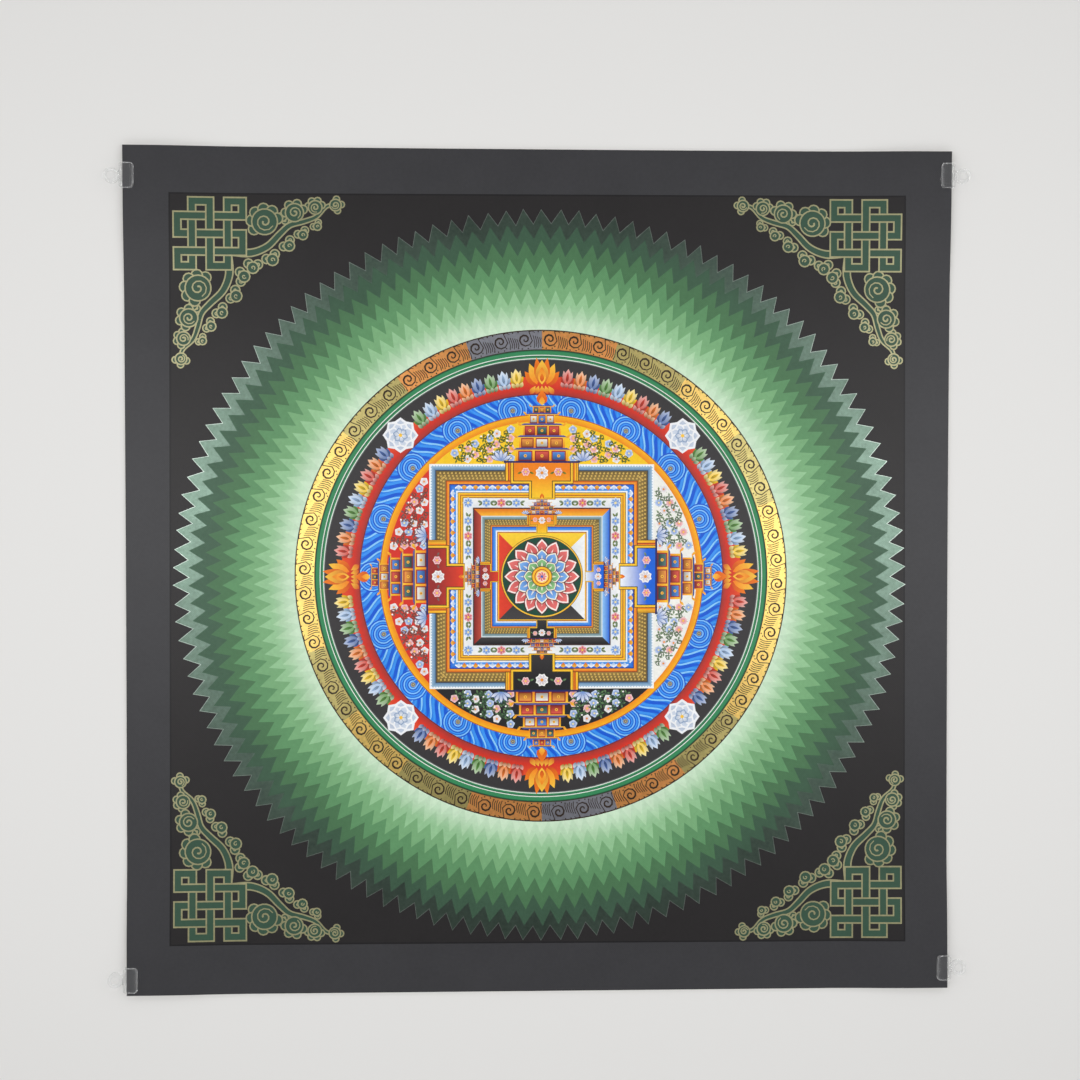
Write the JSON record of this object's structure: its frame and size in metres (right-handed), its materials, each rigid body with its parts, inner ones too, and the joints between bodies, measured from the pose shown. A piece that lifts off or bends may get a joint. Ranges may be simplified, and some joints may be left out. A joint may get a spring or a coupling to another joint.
{
  "type": "mandala painting",
  "caption": "Flat painted cotton canvas with a round mandala on a dark ground, gripped at its side edges by clear plastic clips; lies or is shown face on.",
  "frame": {"origin": "middle of the canvas, on the surface that it lies on", "axes": "+X towards the picture's right edge, +Y towards its top edge, +Z out of the painted face"},
  "size_m": [0.69, 0.675, 0.0062],
  "materials": {
    "canvas": "matte paint on primed cotton canvas",
    "clip": "clear moulded plastic"
  },
  "bodies": {
    "root": {"canvas": "canvas", "clip_top_left": "clip", "clip_top_right": "clip", "clip_bottom_left": "clip", "clip_bottom_right": "clip"}
  },
  "joints": []
}
